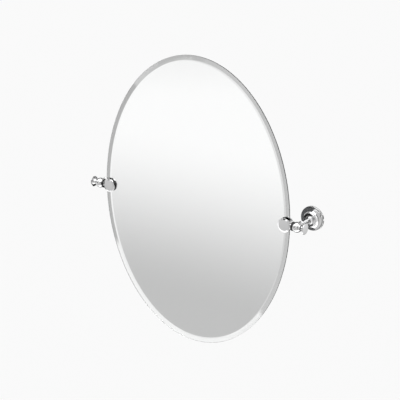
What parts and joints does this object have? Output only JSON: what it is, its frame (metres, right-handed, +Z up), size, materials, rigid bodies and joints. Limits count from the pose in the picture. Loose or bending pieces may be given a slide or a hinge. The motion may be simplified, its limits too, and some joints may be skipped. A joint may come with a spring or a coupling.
{
  "type": "pivot wall mirror",
  "caption": "Frameless oval bevelled wall mirror that tilts between turned chrome posts, with round glass clips, flared tension knobs and stepped wall rosettes.",
  "frame": {"origin": "on the wall, midway between the two posts, at the height of the pivot axis", "axes": "+Y into the wall, +X to the right along the pivot axis as the viewer sees it, +Z up"},
  "size_m": [0.5874, 0.0802, 0.673],
  "materials": {
    "glass": "clear float glass with a polished bevel",
    "silver": "silvered in front, grey paint and safety film behind",
    "chrome": "polished chrome plate on turned brass",
    "steel": "zinc plated",
    "nylon": "black nylon",
    "rubber": "matt black"
  },
  "bodies": {
    "brackets": {"left_inner_bush": "nylon", "left_outer_bush": "nylon", "left_post": "chrome", "left_post_screw": "steel", "left_post_washer": "steel", "left_rosette": "chrome", "left_lock_screw": "steel", "left_wall_plate": "steel", "right_inner_bush": "nylon", "right_outer_bush": "nylon", "right_post": "chrome", "right_post_screw": "steel", "right_post_washer": "steel", "right_rosette": "chrome", "right_lock_screw": "steel", "right_wall_plate": "steel"},
    "mirror": {"mirror_glass": "glass", "silvered_backing": "silver", "left_clip": "chrome", "left_front_pad": "rubber", "left_rear_pad": "rubber", "left_pressure_plate": "steel", "left_clamp_screws": "steel", "left_pivot_stud": "steel", "left_spring_washer": "steel", "right_clip": "chrome", "right_front_pad": "rubber", "right_rear_pad": "rubber", "right_pressure_plate": "steel", "right_clamp_screws": "steel", "right_pivot_stud": "steel", "right_spring_washer": "steel"},
    "left_knob": {"left_knob": "chrome"},
    "right_knob": {"right_knob": "chrome"}
  },
  "joints": [
    {"name": "mirror_tilt", "type": "hinge", "parent": "brackets", "child": "mirror", "pos_m": [0, -0.068, 0], "axis": [1, 0, 0], "range_deg": [-11, 11]},
    {"name": "left_knob_turn", "type": "hinge", "parent": "mirror", "child": "left_knob", "pos_m": [-0.2821, -0.068, 0], "axis": [-1, 0, 0], "range_deg": [-180, 0]},
    {"name": "right_knob_turn", "type": "hinge", "parent": "mirror", "child": "right_knob", "pos_m": [0.2821, -0.068, 0], "axis": [1, 0, 0], "range_deg": [-180, 0]}
  ]
}
